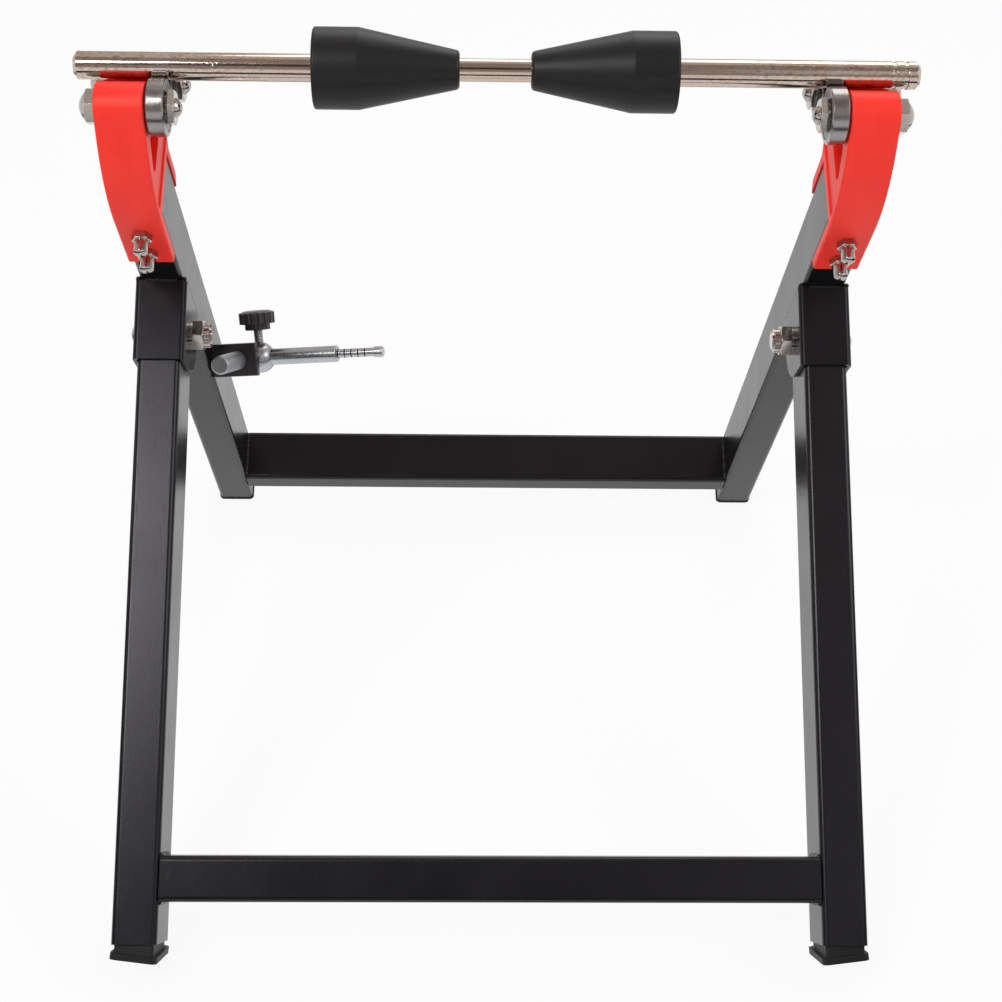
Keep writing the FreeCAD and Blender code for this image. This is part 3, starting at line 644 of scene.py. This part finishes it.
def sidePoint(lean, start, along, behind, x):
    # a point given up a leg and back from its front face, in the stand's frame
    turn = math.radians(lean)
    y = behind * math.cos(turn) - along * math.sin(turn)
    z = behind * math.sin(turn) + along * math.cos(turn)
    return Vector((x, y + start[0], z + start[1]))


def frontSpot(along, behind, x):
    return sidePoint(-standFrame["frontLean"], standFrame["frontStart"], along, behind, x)


def rearSpot(along, behind, x):
    return sidePoint(standFrame["rearLean"], standFrame["rearStart"], along, behind, x)


weld = {
    "radius": 0.0017,
    "small": 0.0013,
    "wander": 2180.0,       # radians of sideways sway in a metre
    "wanderShare": 0.12,    # of the radius
    "ripple": 0.16,
    "pitch": 0.0021,
    "step": 0.0005,
    "around": 12,
}


def weldBead(name, path, body, finish, radius):
    # a rippled bead along straight runs, closed at both ends
    s = weld
    mesh = bmesh.new()
    rings = []
    travelled = 0.0
    for first, second in zip(path[:-1], path[1:]):
        run = second - first
        direction = run.normalized()
        across = direction.orthogonal().normalized()
        other = direction.cross(across)
        count = max(2, int(run.length / s["step"]))
        for number in range(count + 1):
            share = number / count
            spot = first + run * share
            distance = travelled + run.length * share
            wave = abs(math.sin(math.pi * distance / s["pitch"]))
            size = radius * (1.0 - s["ripple"] + s["ripple"] * wave)
            wander = s["wanderShare"] * radius * math.sin(distance * s["wander"])
            ring = []
            for turn in range(s["around"]):
                angle = 2.0 * math.pi * turn / s["around"]
                sideways = across * (size * math.cos(angle) + wander)
                ring.append(mesh.verts.new(spot + sideways + other * size * math.sin(angle)))
            rings.append(ring)
        travelled += run.length
    for low, high in zip(rings[:-1], rings[1:]):
        for turn in range(s["around"]):
            after = (turn + 1) % s["around"]
            mesh.faces.new((low[turn], low[after], high[after], high[turn]))
    mesh.faces.new(list(reversed(rings[0])))
    mesh.faces.new(rings[-1])
    bmesh.ops.recalc_face_normals(mesh, faces=mesh.faces)
    data = bpy.data.meshes.new(name)
    mesh.to_mesh(data)
    mesh.free()
    for face in data.polygons:
        face.use_smooth = True
    bead = bpy.data.objects.new(name, data)
    bpy.context.scene.collection.objects.link(bead)
    data.materials.append(finish)
    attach(bead, body)


barWeld = {
    "front": {"top": 0.0476, "low": 0.0226, "from": 0.002, "to": 0.0235},
    "rear": {"top": 0.0421, "low": 0.0219, "from": 0.002, "to": 0.036},
}


def barWelds():
    # above and below both ends of each crossbar
    for side, sign in sides:
        x = sign * standFrame["legInner"]
        for bar, place in (("front", frontSpot), ("rear", rearSpot)):
            s = barWeld[bar]
            for edge in ("top", "low"):
                path = [place(s[edge], s["from"], x), place(s[edge], s["to"], x)]
                name = bar + "_bar_weld_" + edge + "_" + side
                weldBead(name, path, bar + "_frame", frameCoat, weld["radius"])


plateWeld = {
    "low": 0.3020,          # up the rear leg, where the bracket's ears begin and end
    "high": 0.3486,
    "ear": 0.0133,          # from the leg's middle to the ear's bead
    "behind": 0.0008,
    "across": 0.0090,
    "radius": 0.0016,
    "tabMiddle": (-0.1521, 0.089348, 0.202862),
    "tabInward": (0.962133, -0.20363, 0.181206),
    "tabUp": (-0.080693, 0.422205, 0.902902),
    "tabHalf": 0.0104,
    "tabOut": 0.4,          # of the bead's radius, off the leg
}


def plateWelds():
    # the brackets' ears and front walls on the rear legs, and the gauge's tab on the left one
    s = plateWeld
    for side, sign in sides:
        middle = sign * standFrame["legCentre"]
        for place, offset in (("inner", -s["ear"]), ("outer", s["ear"])):
            x = middle + sign * offset
            path = [rearSpot(s["low"], s["behind"], x), rearSpot(s["high"], s["behind"], x)]
            weldBead("bracket_weld_" + place + "_" + side, path, "rear_frame", plateCoat, s["radius"])
        path = [rearSpot(s["high"], 0.0, middle + offset) for offset in (-s["across"], s["across"])]
        weldBead("bracket_weld_top_" + side, path, "rear_frame", plateCoat, s["radius"])
    inward, up, start = Vector(s["tabInward"]), Vector(s["tabUp"]), Vector(s["tabMiddle"])
    legFace = weld["small"] * s["tabOut"] - standFrame["legInner"]
    path = []
    for height in (-s["tabHalf"], s["tabHalf"]):
        spot = start + up * height
        path.append(spot + inward * ((legFace - spot.x) / inward.x))
    weldBead("tab_weld", path, "rear_frame", frameCoat, weld["small"])


barWelds()
plateWelds()
print("weld beads laid")


camera = {
    "place": (-0.0159, -0.8369, 0.7503),
    "yaw": 1.520,
    "pitch": 35.406,
    "roll": -1.290,
    "lens": 59.28,
    "sensor": 36.0,
    "nearest": 0.01,
    "farthest": 100.0,
}


def addCamera():
    s = camera
    yaw, pitch, roll = (math.radians(s[name]) for name in ("yaw", "pitch", "roll"))
    level = math.cos(pitch)
    forward = Vector((math.sin(yaw) * level, math.cos(yaw) * level, -math.sin(pitch)))
    right = Vector((math.cos(yaw), -math.sin(yaw), 0.0))
    down = forward.cross(right)
    tiltedRight = right * math.cos(roll) + down * math.sin(roll)
    tiltedDown = down * math.cos(roll) - right * math.sin(roll)
    data = bpy.data.cameras.new("photoCamera")
    data.lens = s["lens"]
    data.sensor_width = s["sensor"]
    data.clip_start = s["nearest"]
    data.clip_end = s["farthest"]
    seen = bpy.data.objects.new("photoCamera", data)
    matrix = Matrix((tiltedRight, -tiltedDown, -forward)).transposed().to_4x4()
    matrix.translation = Vector(s["place"])
    seen.matrix_world = matrix
    bpy.context.scene.collection.objects.link(seen)
    bpy.context.scene.camera = seen


lamps = {
    "key": {"place": (-0.95, -1.15, 1.75), "size": 0.8, "shape": "SQUARE", "power": 20.0,
            "colour": (1.0, 0.99, 0.98)},
    "fill": {"place": (1.5, -0.6, 1.5), "size": 1.2, "shape": "DISK", "power": 11.0,
             "colour": (0.97, 0.985, 1.0)},
    "back": {"place": (0.3, 1.5, 1.9), "size": 1.4, "shape": "SQUARE", "power": 13.0,
             "colour": (1.0, 1.0, 1.0)},
}
lampAim = (0.0, 0.0, 0.22)


def addLamps():
    for name, s in lamps.items():
        data = bpy.data.lights.new(name + "Lamp", "AREA")
        data.shape = s["shape"]
        data.size = s["size"]
        data.energy = s["power"]
        data.color = s["colour"]
        lamp = bpy.data.objects.new(name + "Lamp", data)
        place = Vector(s["place"])
        back = (place - Vector(lampAim)).normalized()
        right = Vector((0.0, 0.0, 1.0)).cross(back).normalized()
        matrix = Matrix((right, back.cross(right), back)).transposed().to_4x4()
        matrix.translation = place
        lamp.matrix_world = matrix
        bpy.context.scene.collection.objects.link(lamp)


paleFloor = {
    "size": 40.0,
    "cells": 8,
    "low": (0.86, 0.86, 0.86, 1.0),
    "high": (0.88, 0.88, 0.88, 1.0),
    "cloud": {"size": 0.4},
    "cloudRoughness": 0.1,
    "roughness": 0.7,
    "gloss": 0.2,
    "white": 0.91,          # how much of what is seen is plain white, the rest is lit and shadowed
}


def addFloor():
    s = paleFloor
    mesh = bmesh.new()
    bmesh.ops.create_grid(mesh, x_segments=s["cells"], y_segments=s["cells"], size=s["size"] * 0.5)
    data = bpy.data.meshes.new("studioFloor")
    mesh.to_mesh(data)
    mesh.free()
    floor = bpy.data.objects.new("studioFloor", data)
    bpy.context.scene.collection.objects.link(floor)
    material, shop = newMaterial("paleFloor")
    cloud = shop.noise(shop.place(), **s["cloud"])
    colour = shop.mixColour(cloud, s["low"], s["high"])
    rough = s["roughness"] + cloud * s["cloudRoughness"]
    lit = shop.node("ShaderNodeBsdfPrincipled", None,
                    {"Base Color": colour, "Roughness": rough, "Specular IOR Level": s["gloss"]})
    # white to the camera and in the metal, with part of the shadow kept
    white = shop.node("ShaderNodeEmission", None, {"Color": (1.0, 1.0, 1.0, 1.0), "Strength": 1.0})
    rays = ("Is Camera Ray", "Is Glossy Ray", "Is Transmission Ray")
    seen = shop.largest([shop.node("ShaderNodeLightPath", output=ray) for ray in rays])
    surface = shop.node("ShaderNodeMixShader", None, {0: seen * s["white"], 1: lit, 2: white})
    shop.node("ShaderNodeOutputMaterial", None, {"Surface": surface})
    data.materials.append(material)


darkReflectionCard = {
    "radius": 0.62,
    "low": 0.004,
    "high": 0.20,
    "spread": 112.0,        # degrees to each side of the front
    "pieces": 40,
    "cloud": {"size": 0.05},
    "paper": (0.020, 0.016, 0.014, 1.0),
    "palePaper": (0.03, 0.025, 0.022, 1.0),
    "roughness": 0.9,
}


def addCard():
    # a dark card that stands low in front and at the sides, seen only in the metal: a painted dark
    # reflection
    s = darkReflectionCard
    mesh = bmesh.new()
    rows = []
    for height in (s["low"], s["high"]):
        row = []
        for number in range(s["pieces"] + 1):
            turn = math.radians(s["spread"] * (2.0 * number / s["pieces"] - 1.0))
            spot = (s["radius"] * math.sin(turn), -s["radius"] * math.cos(turn), height)
            row.append(mesh.verts.new(spot))
        rows.append(row)
    below, above = rows
    for number in range(s["pieces"]):
        mesh.faces.new((below[number], below[number + 1], above[number + 1], above[number]))
    data = bpy.data.meshes.new("darkReflectionCard")
    mesh.to_mesh(data)
    mesh.free()
    card = bpy.data.objects.new("darkReflectionCard", data)
    bpy.context.scene.collection.objects.link(card)
    material, shop = newMaterial("darkReflectionCardPaper")
    cloud = shop.noise(shop.place(), **s["cloud"])
    colour = shop.mixColour(cloud, s["paper"], s["palePaper"])
    close(shop, {"Base Color": colour, "Roughness": s["roughness"]})
    data.materials.append(material)
    card.visible_camera = False
    card.visible_diffuse = False
    card.visible_shadow = False


# each pair is where a step of height, of ahead or of rightward begins and ends,
# as the cosine of the angle to that direction
room = {
    "horizon": (0.97, 0.97, 0.97, 1.0),
    "wall": (0.80, 0.78, 0.77, 1.0),
    "wallUp": (0.03, 0.12),
    "frontWall": (0.42, 0.37, 0.34, 1.0),
    "frontWallAhead": (-0.55, -0.25),
    "frontWallUp": (0.05, 0.10),
    "ceiling": (0.34, 0.295, 0.275, 1.0),
    "ceilingUp": (0.12, 0.42),
    "skylight": (0.66, 0.60, 0.56, 1.0),
    "skylightUp": (0.30, 0.60),
    "skylightAhead": (-0.10, 0.15),
    "shade": (0.045, 0.038, 0.035, 1.0),
    "shadeUp": (0.42, 0.56),
    "shadeTop": (0.68, 0.80),
    "shadeAhead": (-0.60, -0.25),
    "window": (0.72, 0.68, 0.68, 1.0),
    "windowUp": (0.35, 0.45),
    "windowTop": (0.72, 0.82),
    "windowAhead": (-0.60, -0.45),
    "windowRight": (0.02, 0.28),
}


def addRoom():
    s = room
    world = bpy.data.worlds.new("studioRoom")
    world.use_nodes = True
    bpy.context.scene.world = world
    shop = Shop(world.node_tree)
    direction = shop.node("ShaderNodeTexCoord", output="Generated")
    rightward = shop.dot(direction, (1.0, 0.0, 0.0))
    ahead = shop.dot(direction, (0.0, 1.0, 0.0))
    height = shop.dot(direction, (0.0, 0.0, 1.0))

    def rising(value, name):
        return shop.step(value, *s[name])

    def falling(value, name):
        return 1.0 - shop.step(value, *s[name])

    colour = shop.mixColour(rising(height, "wallUp"), s["horizon"], s["wall"])
    mask = falling(ahead, "frontWallAhead") * rising(height, "frontWallUp")
    colour = shop.mixColour(mask, colour, s["frontWall"])
    colour = shop.mixColour(rising(height, "ceilingUp"), colour, s["ceiling"])
    mask = rising(height, "skylightUp") * rising(ahead, "skylightAhead")
    colour = shop.mixColour(mask, colour, s["skylight"])
    # the dim end of the room above the camera, with a softer light on its right
    mask = rising(height, "shadeUp") * falling(height, "shadeTop") * falling(ahead, "shadeAhead")
    colour = shop.mixColour(mask, colour, s["shade"])
    mask = rising(rightward, "windowRight") * falling(ahead, "windowAhead")
    mask = mask * rising(height, "windowUp") * falling(height, "windowTop")
    colour = shop.mixColour(mask, colour, s["window"])
    light = shop.node("ShaderNodeBackground", None, {"Color": colour, "Strength": 1.0})
    shop.node("ShaderNodeOutputWorld", None, {"Surface": light})


addFloor()
addCard()
addRoom()
addLamps()
addCamera()
bpy.context.scene.view_settings.view_transform = "Standard"
print("studio set")
